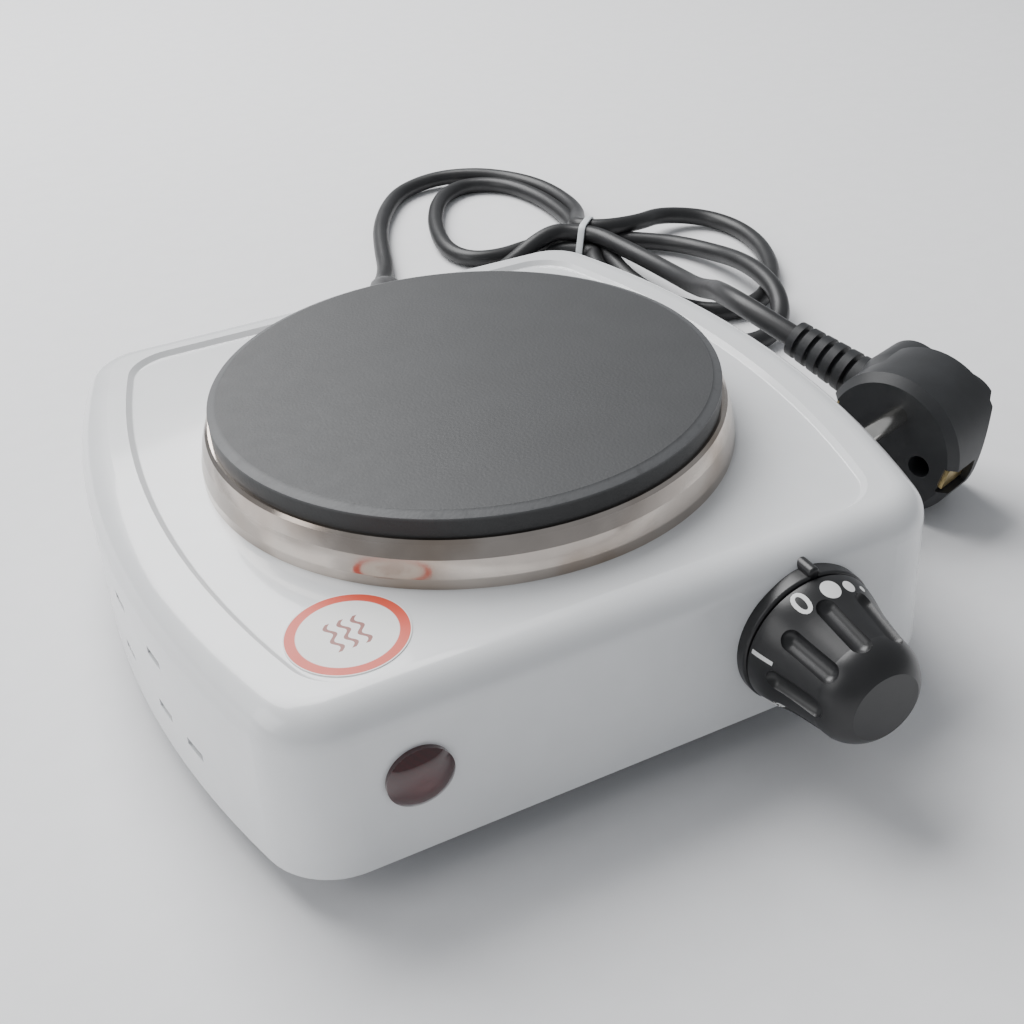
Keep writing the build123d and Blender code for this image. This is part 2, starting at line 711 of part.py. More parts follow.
def lamp_in(distance):
    """Y of a point this far inwards of the front wall, at the lamp."""
    return lamp_inner_y + distance


with BuildPart() as lamp_lens:
    with BuildSketch(Plane.XY.offset(lamp_z)):
        with BuildLine():
            ThreePointArc(
                (lamp_x, lamp_wall_y - lamp_dome), (lamp_x + 4.2, lamp_wall_y - lamp_dome + 0.5),
                (lamp_x + lamp_radius, lamp_wall_y - 0.8),
            )
            Polyline(
                (lamp_x + lamp_radius, lamp_wall_y - 0.8), (lamp_x + lamp_radius, lamp_wall_y + 2),
                (lamp_x, lamp_wall_y + 2), (lamp_x, lamp_wall_y - lamp_dome),
            )
        make_face()
    revolve(axis=Axis((lamp_x, lamp_wall_y, lamp_z), (0, 1, 0)))
    add(case_block.part, mode=Mode.SUBTRACT)
    rod_y(lamp_x, lamp_z, lamp_wall_y - 0.4, lamp_in(lens_in), lamp_tail)
    rod_y(lamp_x, lamp_z, lamp_wall_y, lamp_in(lens_in + 1), lamp_cavity, Mode.SUBTRACT)
lamp_lens.part.label = "lamp_lens"
export_step(lamp_lens.part, "parts/lamp_lens.step")

with BuildPart() as lamp_holder:
    rod_y(lamp_x, lamp_z, lamp_in(lens_in), lamp_in(holder_in), lamp_tail)
    rod_y(lamp_x, lamp_z, lamp_in(lens_in - 1), lamp_in(holder_in - 2), lamp_cavity, Mode.SUBTRACT)
lamp_holder.part.label = "lamp_holder"
export_step(lamp_holder.part, "parts/lamp_holder.step")

with BuildPart() as neon_bulb:
    rod_y(lamp_x, lamp_z, lamp_in(1.0), lamp_in(holder_in - 2), 2.6)
    fillet(neon_bulb.faces().sort_by(Axis.Y)[0].edges(), 2.0)
neon_bulb.part.label = "neon_bulb"
export_step(neon_bulb.part, "parts/neon_bulb.step")

with BuildPart() as lamp_clip:
    rod_y(lamp_x, lamp_z, lamp_in(-2), lamp_in(1.0), 8.0)
    add(case_core.part, mode=Mode.INTERSECT)
    rod_y(lamp_x, lamp_z, lamp_in(-3), lamp_in(3), lamp_tail, Mode.SUBTRACT)
lamp_clip.part.label = "lamp_clip"
export_step(lamp_clip.part, "parts/lamp_clip.step")

# ---------------------------------------------------------------- wiring
terminal_left = 10.0
terminal_right = 38.0
terminal_front = plate_y + 36.0
terminal_back = plate_y + 50.0
terminal_height = 11.0
pole_x = (15.0, 24.0, 33.0)
pole_z = pan_top + 6.0
with BuildPart() as terminal_block:
    block(terminal_left, terminal_right, terminal_front, terminal_back, pan_top,
          pan_top + terminal_height)
    fillet(terminal_block.edges().filter_by(Axis.Z), 1.0)
    for x in pole_x:
        rod_z(x, (terminal_front + terminal_back) / 2, pan_top + 8, pan_top + 12, 2.2, Mode.SUBTRACT)
terminal_block.part.label = "terminal_block"
export_step(terminal_block.part, "parts/terminal_block.step")

with BuildPart() as terminal_screws:
    for x in pole_x:
        rod_z(x, (terminal_front + terminal_back) / 2, pan_top + 8, pan_top + 10.6, 2.0)
terminal_screws.part.label = "terminal_screws"
export_step(terminal_screws.part, "parts/terminal_screws.step")

with BuildPart() as earth_screw:
    rod_z(earth_x, earth_y, pan_z - 1.2, pan_top, earth_shank)
    rod_z(earth_x, earth_y, pan_top, pan_top + 3.4, 3.9)
earth_screw.part.label = "earth_screw"
export_step(earth_screw.part, "parts/earth_screw.step")

inlet_end = gland_inner_y - 15.0
bush_inner = 2.0
with BuildPart() as cord_inlet:
    rod_y(gland_x, gland_z, gland_inner_y - bush_inner, inlet_end, lead_radius)
cord_inlet.part.label = "cord_inlet"
export_step(cord_inlet.part, "parts/cord_inlet.step")

with BuildPart() as cord_clamp:
    block(gland_x - 8, gland_x + 8, inlet_end + 2, inlet_end + 9, pan_top, gland_z + 5)
    fillet(cord_clamp.edges().filter_by(Axis.Y), 1.5)
    rod_y(gland_x, gland_z, inlet_end, inlet_end + 12, lead_radius, Mode.SUBTRACT)
cord_clamp.part.label = "cord_clamp"
export_step(cord_clamp.part, "parts/cord_clamp.step")

core_starts = ((-1.6, -0.9), (0.0, 1.5), (1.6, -0.9))
with BuildPart() as cord_cores:
    for (dx, dz), x in zip(core_starts, pole_x):
        start = (gland_x + dx, inlet_end, gland_z + dz)
        add(wire(
            [start, (start[0], inlet_end - 3.0, start[2]), (x, terminal_back + 3.5, pole_z),
             (x, terminal_back + fit_gap, pole_z)],
            core_radius * 0.7, 2.0))
cord_cores.part.label = "cord_cores"
export_step(cord_cores.part, "parts/cord_cores.step")

wire_start = terminal_front - fit_gap
blade_y = inwards(blade_in + blade_sheet / 2)
second_blade_y = inwards(second_blade_in + blade_sheet / 2)
tag_x = terminal_x - fit_gap
live_points = [
    (pole_x[0], wire_start, pole_z), (pole_x[0], plate_y + 10, pan_top + 4),
    (-22, plate_y - 30, pan_top + 4), (-22, blade_y, knob_z), (tag_x, blade_y, knob_z),
]
with BuildPart() as live_wire:
    add(wire(live_points, core_radius, 6.0))
live_wire.part.label = "live_wire"
export_step(live_wire.part, "parts/live_wire.step")

pin_end = pin_bottom - fit_gap
switched_points = [
    (tag_x, second_blade_y, knob_z), (-14, second_blade_y, knob_z), (-14, plate_y - 20, pan_top + 10),
    (pin_places[0][0], pin_places[0][1], pan_top + 10), (pin_places[0][0], pin_places[0][1], pin_end),
]
with BuildPart() as switched_wire:
    add(wire(switched_points, core_radius, 4.0))
switched_wire.part.label = "switched_wire"
export_step(switched_wire.part, "parts/switched_wire.step")

neutral_points = [
    (terminal_left - fit_gap, pin_places[1][1], pole_z), (pin_places[1][0], pin_places[1][1], pole_z),
    (pin_places[1][0], pin_places[1][1], pin_end),
]
with BuildPart() as neutral_wire:
    add(wire(neutral_points, core_radius, 5.0))
neutral_wire.part.label = "neutral_wire"
export_step(neutral_wire.part, "parts/neutral_wire.step")

earth_points = [
    (pole_x[2], wire_start, pole_z), (pole_x[2], earth_y + 3, pole_z),
    (pole_x[2] + 8, earth_y, pan_top + 2), (earth_x - 3.9 - fit_gap, earth_y, pan_top + 2),
]
with BuildPart() as earth_wire:
    add(wire(earth_points, core_radius, 2.5))
earth_wire.part.label = "earth_wire"
export_step(earth_wire.part, "parts/earth_wire.step")

lamp_back = lamp_in(holder_in) + fit_gap
lead_left = terminal_left - fit_gap
lamp_points_a = [
    (lamp_x - 1.6, lamp_back, lamp_z), (lamp_x - 1.6, plate_y - 40, pan_top + 12),
    (-40, plate_y + 20, pan_top + 12), (-20, terminal_back - 5, pan_top + 4),
    (lead_left, terminal_back - 5, pan_top + 4),
]
lamp_points_b = [
    (lamp_x + 1.6, lamp_back, lamp_z), (lamp_x + 1.6, plate_y - 40, pan_top + 16),
    (-36, plate_y + 20, pan_top + 16), (-18, terminal_back - 2, pan_top + 8),
    (lead_left, terminal_back - 2, pan_top + 8),
]
with BuildPart() as lamp_leads:
    add(wire(lamp_points_a, lamp_lead_radius, 6.0))
    add(wire(lamp_points_b, lamp_lead_radius, 6.0))
lamp_leads.part.label = "lamp_leads"
export_step(lamp_leads.part, "parts/lamp_leads.step")

# ---------------------------------------------------------------- label
label_radius = 11.5
label_sheet = 0.2
with BuildPart() as hot_label:
    rod_z(-48.4, plate_y - 54.0, panel_z, panel_z + label_sheet, label_radius)
hot_label.part.label = "hot_label"
export_step(hot_label.part, "parts/hot_label.step")

# ---------------------------------------------------------------- lead outlet
flange_reach = 2.5
tail_root = 5.2
tail_tip = 4.2
tail_start_y = gland_wall_y + flange_reach
tail_end_y = tail_start_y + gland_tail
with BuildPart() as cord_bush:
    rod_y(gland_x, gland_z, gland_wall_y - 2, gland_wall_y + flange_reach, 8.0)
    fillet(cord_bush.faces().sort_by(Axis.Y)[-1].edges(), 0.8)
    add(case_block.part, mode=Mode.SUBTRACT)
    rod_y(gland_x, gland_z, gland_inner_y - bush_inner, gland_wall_y + 1, 5.4)
    rod_y(gland_x, gland_z, gland_inner_y - bush_inner, gland_inner_y - 0.4, 7.0)
    with Locations((gland_x, tail_start_y + gland_tail / 2, gland_z)):
        Cone(tail_root, tail_tip, gland_tail, rotation=(-90, 0, 0))
cord_bush.part.label = "cord_bush"
export_step(cord_bush.part, "parts/cord_bush.step")

# the lead falls from the bush to the table and runs round to the hank
floor_z = lead_radius
tail_points = [
    (gland_x, tail_end_y, gland_z), (gland_x, 136.0, gland_z), (32.0, 155.0, 13.0),
    (39.0, 172.0, 5.0), (47.0, 188.0, floor_z), (52.5, 206.0, floor_z), (59.0, 225.0, floor_z),
    (69.0, 244.0, floor_z), (81.0, 259.0, floor_z), (98.0, 263.5, 4.0), (113.0, 257.0, 6.0),
]
with BuildPart() as cord_tail:
    add(cord("cord_tail", tail_points, lead_radius))
cord_tail.part.label = "cord_tail"
export_step(cord_tail.part, "parts/cord_tail.step")

# ---------------------------------------------------------------- plug
# the plug lies on its side; pins point along pin_dir, the lead leaves along lead_dir
plug_angle = radians(198.0)
plug_roll = radians(14.0)
plug_radius = 18.5
plug_centre = Vector(100.5, -14.0, plug_radius + 0.1)
pin_dir = Vector(cos(plug_angle), sin(plug_angle), 0)
level_dir = Vector(sin(plug_angle), -cos(plug_angle), 0)
lead_dir = level_dir * cos(plug_roll) + Vector(0, 0, sin(plug_roll))
plug_face = Plane(origin=plug_centre, x_dir=lead_dir, z_dir=pin_dir)
face_bevel = 2.0
disc_depth = 9.0
body_depth = 25.0
shoulder = 6.0
lead_depth = 17.0
back_length = 33.0
back_width = 27.0
back_shift = 2.5
relief_start = 13.0
relief_end = 41.0
relief_root = 6.4
relief_tip = 4.8
plug_pin_radius = 2.4
plug_pin_length = 19.0
plug_pin_half = 9.5
clip_slot = 7.0
clip_depth = 3.0
slot_length = 10.0
rib_count = 5
rib_pitch = 4.0
rib_slot = 1.5
relief_length = relief_end - relief_start
relief_plane = Plane(
    origin=plug_face.from_local_coords(Vector(relief_start, 0, -lead_depth)),
    x_dir=pin_dir, z_dir=lead_dir,
)
with BuildPart() as plug_relief:
    with BuildSketch(relief_plane) as relief_wide:
        Circle(relief_root)
    with BuildSketch(relief_plane.offset(relief_length)) as relief_narrow:
        Circle(relief_tip)
    loft([relief_wide.sketch.face(), relief_narrow.sketch.face()])
    for k in range(rib_count):
        with BuildSketch(relief_plane.offset(relief_length - 2.2 - k * rib_pitch)):
            Circle(relief_root + 2)
            Circle(lead_radius + 0.6, mode=Mode.SUBTRACT)
        extrude(amount=-rib_slot, mode=Mode.SUBTRACT)
plug_relief.part.label = "plug_relief"
export_step(plug_relief.part, "parts/plug_relief.step")

with BuildPart() as plug_body:
    with BuildSketch(plug_face):
        Circle(plug_radius)
    extrude(amount=-disc_depth)
    chamfer(plug_body.faces().sort_by(Axis(plug_centre, pin_dir))[-1].edges(), face_bevel)
    with BuildSketch(plug_face.offset(-disc_depth)) as wide_end:
        Circle(plug_radius)
    with BuildSketch(plug_face.offset(-disc_depth - shoulder)) as narrow_end:
        with Locations((back_shift, 0)):
            RectangleRounded(back_length, back_width, 9)
    loft([wide_end.sketch.face(), narrow_end.sketch.face()])
    with BuildSketch(plug_face.offset(-disc_depth - shoulder)):
        with Locations((back_shift, 0)):
            RectangleRounded(back_length, back_width, 9)
    extrude(amount=-(body_depth - disc_depth - shoulder))
    far_end = back_shift - back_length / 2
    slope = Plane(
        origin=plug_face.from_local_coords(Vector(far_end + 4, 0, -body_depth)),
        z_dir=lead_dir * -0.85 + pin_dir * -0.53,
    )
    split(bisect_by=slope, keep=Keep.BOTTOM)
    add(plug_relief.part, mode=Mode.SUBTRACT)
    for side in (-1, 1):
        with BuildSketch(plug_face.offset(0.5)):
            with Locations((side * (plug_radius - clip_depth / 2 + 0.5), 0)):
                Rectangle(clip_depth + 1, clip_slot)
        extrude(amount=-slot_length, mode=Mode.SUBTRACT)
    with BuildSketch(plug_face):
        with Locations((-9.5, 0)):
            Circle(2.8)
    extrude(amount=-12, mode=Mode.SUBTRACT)
plug_body.part.label = "plug_body"
export_step(plug_body.part, "parts/plug_body.step")

with BuildPart() as plug_pins:
    with BuildSketch(plug_face):
        with Locations((0, plug_pin_half), (0, -plug_pin_half)):
            Circle(plug_pin_radius)
    extrude(amount=plug_pin_length)
    tips = plug_pins.faces().sort_by(Axis(plug_centre, pin_dir))[-2:]
    fillet([edge for tip in tips for edge in tip.edges()], 1.4)
plug_pins.part.label = "plug_pins"
export_step(plug_pins.part, "parts/plug_pins.step")

with BuildPart() as plug_earth_clips:
    with BuildSketch(plug_face.offset(-1.0)):
        with Locations((plug_radius - clip_depth + 0.5, 0), (-plug_radius + clip_depth - 0.5, 0)):
            Rectangle(1.0, 5.5)
    extrude(amount=-8.5)
plug_earth_clips.part.label = "plug_earth_clips"
export_step(plug_earth_clips.part, "parts/plug_earth_clips.step")

relief_tip_point = relief_plane.origin + lead_dir * relief_length
lead_out = relief_tip_point + lead_dir * 12
lead_points = [
    (relief_tip_point.X, relief_tip_point.Y, relief_tip_point.Z),
    (lead_out.X, lead_out.Y, lead_out.Z), (100.5, 54.0, 31.5), (105.0, 67.5, 27.5),
    (111.5, 81.0, 21.0), (117.5, 96.0, 14.5), (121.0, 113.0, 11.0), (121.5, 131.0, 9.6),
    (120.0, 147.0, 9.4), (118.3, 160.0, 9.3),
]
with BuildPart() as cord_lead:
    add(cord("cord_lead", lead_points, lead_radius))
cord_lead.part.label = "cord_lead"
export_step(cord_lead.part, "parts/cord_lead.step")

# ---------------------------------------------------------------- hank and tie
# the spare lead lies in loops tied in the middle; one solid has their outer shape
tie_centre = Vector(117.0, 168.0)
tie_turn = radians(-45.0)
tie_width = 2.4
waist_half = 9.3
waist_low = 1.0
waist_high = 12.6
waist_neck = 6.5         # half the straight length that the tie goes round
waist_length = 30.0
loop_high = 8.0
along = Vector(cos(tie_turn), sin(tie_turn))
across = Vector(-sin(tie_turn), cos(tie_turn))
waist_plane = Plane(origin=tie_centre + Vector(0, 0, waist_low), x_dir=along)
left_loop = [
    (99, 153), (90, 138), (74, 130), (60, 138), (60, 155), (72, 165), (92, 171), (79, 174),
    (69, 182), (69, 200), (76, 226), (87, 245), (101, 257), (118, 257), (130, 246), (136, 230),
    (136, 205), (130, 187),
]
right_loop = [
    (140, 178), (155, 181), (170, 172), (176, 154), (173, 135), (166, 118), (157, 104), (150, 88),
    (141, 75), (128, 68), (114, 71), (106, 82), (105, 100), (105, 125), (106, 145),
]


def waist_point(length, width):
    """A point of the waist: length along the bundle, width across it."""
    point = tie_centre + along * length + across * width
    return (point.X, point.Y)


hank_outline = [
    waist_point(-waist_neck, -waist_half), *left_loop, waist_point(-waist_neck, waist_half),
    waist_point(waist_neck, waist_half), *right_loop, waist_point(waist_neck, -waist_half),
]
tie_sheet = 0.8
with BuildPart() as cord_tie:
    with BuildSketch(waist_plane.offset(-tie_sheet)):
        Rectangle(tie_width, 2 * (waist_half + tie_sheet))
    extrude(amount=waist_high - waist_low + 2 * tie_sheet)
    with BuildSketch(waist_plane):
        Rectangle(tie_width + 1, 2 * waist_half)
    extrude(amount=waist_high - waist_low, mode=Mode.SUBTRACT)
cord_tie.part.label = "cord_tie"
export_step(cord_tie.part, "parts/cord_tie.step")

with BuildPart() as cord_hank:
    with BuildSketch(Plane.XY) as loops:
        with BuildLine():
            Polyline(*hank_outline, close=True)
        make_face()
        fillet(loops.vertices(), 2.5)
    extrude(amount=loop_high)
    with BuildSketch(waist_plane.offset(-waist_low)):
        Rectangle(2 * waist_neck, 2 * waist_half + 4)
    extrude(amount=waist_low, mode=Mode.SUBTRACT)
    with BuildSketch(waist_plane):
        RectangleRounded(waist_length, 2 * waist_half, 3)
    extrude(amount=waist_high - waist_low)
    add(cord_tie.part, mode=Mode.SUBTRACT)
    add(cord_tail.part, mode=Mode.SUBTRACT)
    add(cord_lead.part, mode=Mode.SUBTRACT)
cord_hank.part.label = "cord_hank"
export_step(cord_hank.part, "parts/cord_hank.step")
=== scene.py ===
"""Looks for a small electric hot plate: finishes, dial print, mains lead, studio."""

import json
import logging
import math
from dataclasses import dataclass, field
from enum import Enum

import bpy
from mathutils import Matrix, Vector
from mathutils.bvhtree import BVHTree


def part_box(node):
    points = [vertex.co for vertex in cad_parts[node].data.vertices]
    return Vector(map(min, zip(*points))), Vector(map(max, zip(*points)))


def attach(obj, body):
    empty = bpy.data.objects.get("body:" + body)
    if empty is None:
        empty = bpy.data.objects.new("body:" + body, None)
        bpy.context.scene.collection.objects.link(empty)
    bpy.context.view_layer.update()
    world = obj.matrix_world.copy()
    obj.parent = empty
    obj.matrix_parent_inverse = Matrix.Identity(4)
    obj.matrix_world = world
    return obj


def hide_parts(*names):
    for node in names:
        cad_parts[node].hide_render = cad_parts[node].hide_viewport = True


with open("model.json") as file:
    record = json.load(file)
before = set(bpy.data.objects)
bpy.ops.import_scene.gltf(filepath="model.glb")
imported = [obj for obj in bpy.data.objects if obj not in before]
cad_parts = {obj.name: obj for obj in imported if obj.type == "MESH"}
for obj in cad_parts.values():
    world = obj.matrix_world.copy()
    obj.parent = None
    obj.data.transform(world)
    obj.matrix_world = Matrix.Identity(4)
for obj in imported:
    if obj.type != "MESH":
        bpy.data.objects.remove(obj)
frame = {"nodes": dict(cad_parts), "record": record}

log = logging.getLogger("hot_plate")
MM = 0.001
Colour = tuple[float, float, float]


class Body(Enum):
    """The rigid bodies of the appliance."""

    HOUSING = "hot_plate"
    CONTROL = "control"


# ---------------------------------------------------------------- shader maths
class Sock:
    """A shader output that can be used in Python sums."""

    def __init__(self, graph: "Graph", link: bpy.types.NodeSocket) -> None:
        """Keeps the graph and the output socket.

        Args:
            graph: the material graph the socket belongs to.
            link: the output socket.
        """
        self.graph = graph
        self.link = link

    def math(self, operation: str, *values: "Sock | float") -> "Sock":
        """Adds a Math node.

        Args:
            operation: the Math node's operation.
            values: its inputs in order.

        Returns:
            The node's value.
        """
        node = self.graph.node("ShaderNodeMath", {"operation": operation}, dict(enumerate(values)))
        return Sock(self.graph, node.outputs[0])

    def __add__(self, other: "Sock | float") -> "Sock":
        """Sum."""
        return self.math("ADD", self, other)

    __radd__ = __add__

    def __sub__(self, other: "Sock | float") -> "Sock":
        """Difference."""
        return self.math("SUBTRACT", self, other)

    def __rsub__(self, other: "Sock | float") -> "Sock":
        """Difference, reflected."""
        return self.math("SUBTRACT", other, self)

    def __mul__(self, other: "Sock | float") -> "Sock":
        """Product."""
        return self.math("MULTIPLY", self, other)

    __rmul__ = __mul__

    def __pow__(self, other: float) -> "Sock":
        """Power."""
        return self.math("POWER", self, other)

    def __lt__(self, other: float) -> "Sock":
        """One where the value is smaller."""
        return self.math("LESS_THAN", self, other)

    def __abs__(self) -> "Sock":
        """Size without sign."""
        return self.math("ABSOLUTE", self)

    def sin(self) -> "Sock":
        """Sine."""
        return self.math("SINE", self)

    def ramp(self, low: float, high: float) -> "Sock":
        """A smooth step from 0 at low to 1 at high.

        Args:
            low: value that gives 0.
            high: value that gives 1.

        Returns:
            The stepped value.
        """
        node = self.graph.node(
            "ShaderNodeMapRange",
            {"interpolation_type": "SMOOTHSTEP"},
            {"Value": self, "From Min": low, "From Max": high},
        )
        return Sock(self.graph, node.outputs["Result"])


class Graph:
    """A material's node graph round one Principled shader."""

    def __init__(self, name: str) -> None:
        """Starts an empty material.

        Args:
            name: the material's name.
        """
        self.material = bpy.data.materials.new(name)
        self.material.use_nodes = True
        self.tree = self.material.node_tree
        self.tree.nodes.clear()
        self.shader = self.tree.nodes.new("ShaderNodeBsdfPrincipled")
        output = self.tree.nodes.new("ShaderNodeOutputMaterial")
        self.tree.links.new(self.shader.outputs[0], output.inputs[0])

    def node(self, kind: str, settings: dict, inputs: dict) -> bpy.types.Node:
        """Adds any node.

        Args:
            kind: the node's type.
            settings: attributes set before the sockets.
            inputs: socket name or number to a value or a Sock.

        Returns:
            The node.
        """
        node = self.tree.nodes.new(kind)
        for name, value in settings.items():
            setattr(node, name, value)
        for key, value in inputs.items():
            self.feed(node, key, value)
        return node

    def feed(self, node: bpy.types.Node, key: str | int, value: object) -> None:
        """Sets or links one input.

        Args:
            node: the node fed.
            key: the input's name or number.
            value: a Sock to link or a plain value to set.
        """
        if isinstance(value, Sock):
            self.tree.links.new(value.link, node.inputs[key])
        else:
            node.inputs[key].default_value = value

    def place(self, centre: Vector = Vector((0, 0, 0))) -> Sock:
        """Object coordinates measured from a point.

        Args:
            centre: the point that becomes the origin, in metres.

        Returns:
            The coordinates.
        """
        coordinates = self.node("ShaderNodeTexCoord", {}, {})
        mapping = self.node(
            "ShaderNodeMapping",
            {},
            {"Vector": Sock(self, coordinates.outputs["Object"]), "Location": -centre},
        )
        return Sock(self, mapping.outputs[0])

    def noise(self, place: Sock, scale: float, detail: float = 3.0) -> Sock:
        """Noise over coordinates.

        Args:
            place: the coordinates.
            scale: cells per metre.
            detail: octaves.

        Returns:
            The noise, about 0.5 on average.
        """
        node = self.node("ShaderNodeTexNoise", {}, {"Vector": place, "Scale": scale, "Detail": detail})
        return Sock(self, node.outputs["Fac"])

    def parts(self, place: Sock) -> tuple[Sock, Sock, Sock]:
        """Splits coordinates into X, Y and Z."""
        node = self.node("ShaderNodeSeparateXYZ", {}, {0: place})
        return tuple(Sock(self, node.outputs[i]) for i in range(3))

    def blend(self, share: Sock, low: object, high: object) -> Sock:
        """Mixes two colours.

        Args:
            share: 0 for low, 1 for high.
            low: a colour or Sock.
            high: a colour or Sock.

        Returns:
            The mixed colour.
        """
        node = self.node("ShaderNodeMix", {"data_type": "RGBA"}, {0: share})
        for key, value in ((6, low), (7, high)):
            self.feed(node, key, value if isinstance(value, Sock) else (*value, 1.0))
        return Sock(self, node.outputs[2])

    def set(self, **values: object) -> None:
        """Sets the shader's own sockets, named with underscores for spaces."""
        for name, value in values.items():
            key = name.replace("_", " ")
            if isinstance(value, tuple):
                value = (*value, 1.0)
            self.feed(self.shader, key, value)

    def bump(self, height: Sock, strength: float, distance: float) -> None:
        """Feeds the shader's normal from a height.

        Args:
            height: the height field.
            strength: how strongly it shows.
            distance: its depth in metres.
        """
        node = self.node("ShaderNodeBump", {}, {"Height": height, "Strength": strength, "Distance": distance})
        self.feed(self.shader, "Normal", Sock(self, node.outputs[0]))


# ---------------------------------------------------------------- finishes
@dataclass(frozen=True)
class Finish:
    """A plain surface with slight mottling, uneven gloss and a fine grain."""

    name: str
    colour: Colour
    roughness: float
    metallic: float = 0.0
    coat: float = 0.0
    mottle: float = 0.06
    mottle_scale: float = 120.0
    gloss_change: float = 0.08
    gloss_scale: float = 260.0
    grain: float = 0.1
    grain_scale: float = 2500.0
    grain_depth: float = 0.00005

    def colours(self, graph: Graph, place: Sock) -> Sock:
        """The surface's colour field.

        Args:
            graph: the material graph.
            place: Object coordinates.

        Returns:
            The colour field.
        """
        dark = tuple(c * (1 - self.mottle) for c in self.colour)
        light = tuple(min(1.0, c * (1 + self.mottle)) for c in self.colour)
        return graph.blend(graph.noise(place, self.mottle_scale).ramp(0.3, 0.7), dark, light)

    def build(self) -> bpy.types.Material:
        """Makes the material.

        Returns:
            The finished material.
        """
        graph = Graph(self.name)
        place = graph.place()
        gloss = graph.noise(place, self.gloss_scale) - 0.5
        graph.set(
            Base_Color=self.colours(graph, place),
            Roughness=gloss * self.gloss_change + self.roughness,
            Metallic=self.metallic,
            Coat_Weight=self.coat,
            Coat_Roughness=0.06,
        )
        graph.bump(graph.noise(place, self.grain_scale, 2.0), self.grain, self.grain_depth)
        return graph.material


@dataclass(frozen=True)
class PlateFinish(Finish):
    """Dark heat-resistant coating on cast iron, with a painted highlight along the top edge and painted shade
    down the side.
    """

    centre: Vector = Vector((0, 0, 0))
    edge: float = 0.055
    top: float = 0.057

    def colours(self, graph: Graph, place: Sock) -> Sock:
        """Coating colour with a painted highlight as a paler rim and painted shade down the side.

        Args:
            graph: the material graph.
            place: Object coordinates.

        Returns:
            The colour field.
        """
        base = super().colours(graph, place)
        x, y, z = graph.parts(graph.place(self.centre))
        radius = (x * x + y * y) ** 0.5
        rim = radius.ramp(self.edge - 0.0023, self.edge - 0.0012)
        high = z.ramp(self.top - 0.0012, self.top - 0.0006)
        # Painted highlight: a paler ring along the plate's top outer edge, broken up by noise.
        painted_edge_highlight = rim * high * (graph.noise(place, 300.0).ramp(0.2, 0.5) * 0.5 + 0.5)
        # Painted shade: the plate's side below the top is darkened to 0.45 of the coating colour.
        painted_side_shade = 1 - z.ramp(self.top - 0.0016, self.top - 0.001)
        with_side_shade = graph.blend(painted_side_shade, base, tuple(c * 0.45 for c in self.colour))
        return graph.blend(painted_edge_highlight * 0.4, with_side_shade, (0.17, 0.173, 0.178))


@dataclass(frozen=True)
class HeatTint(Finish):
    """Polished steel with painted brown reflections in soft patches."""

    def colours(self, graph: Graph, place: Sock) -> Sock:
        """Steel colour with brown patches of painted reflection.

        Args:
            graph: the material graph.
            place: Object coordinates.

        Returns:
            The colour field.
        """
        base = super().colours(graph, place)
        # Painted reflection: soft brown patches stand for the surroundings seen in the polished ring.
        painted_reflection = graph.noise(place, 42.0, 2.0).ramp(0.45, 0.75)
        return graph.blend(painted_reflection * 0.7, base, (0.24, 0.16, 0.10))


@dataclass(frozen=True)
class LabelPrint(Finish):
    """White film with a red ring and three plain wavy lines."""

    centre: Vector = Vector((0, 0, 0))
    radius: float = 0.0115
    ring: Colour = (0.72, 0.075, 0.035)
    ink: Colour = (0.30, 0.10, 0.08)

    def colours(self, graph: Graph, place: Sock) -> Sock:
        """The printed picture.

        Args:
            graph: the material graph.
            place: Object coordinates.

        Returns:
            The colour field.
        """
        base = super().colours(graph, place)
        x, y, _ = graph.parts(graph.place(self.centre))
        radius = (x * x + y * y) ** 0.5
        ring = radius.ramp(self.radius * 0.80, self.radius * 0.82) * (1 - radius.ramp(
            self.radius * 0.975, self.radius * 0.985))
        wave = (y * 1600.0).sin() * 0.0006
        lines = sum(
            (abs(x - wave - offset) < 0.00042) for offset in (-0.0026, 0.0, 0.0026)
        ) * (abs(y) < 0.0042)
        return graph.blend(lines, graph.blend(ring, base, self.ring), self.ink)


@dataclass(frozen=True)
class LensFinish(Finish):
    """Clear red lens over a ribbed holder."""

    centre: Vector = Vector((0, 0, 0))

    def colours(self, graph: Graph, place: Sock) -> Sock:
        """Deep red, brighter in the ribs and towards the middle.

        Args:
            graph: the material graph.
            place: Object coordinates.

        Returns:
            The colour field.
        """
        x, _, z = graph.parts(graph.place(self.centre))
        radius = (x * x + z * z) ** 0.5
        ribs = ((x + z) * 3600.0).sin() * 0.5 + 0.5
        glow = (1 - radius.ramp(0.0005, 0.0055)) * 0.5 + ribs * 0.2
        return graph.blend(glow, tuple(c * 0.35 for c in self.colour), self.colour)


def plate_centre() -> Vector:
    """The burner's axis at floor height."""
    low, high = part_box("heating_plate")
    return Vector(((low.x + high.x) / 2, (low.y + high.y) / 2, 0))


def middle(node: str) -> Vector:
    """The middle of a CAD node's box."""
    low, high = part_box(node)
    return (low + high) / 2


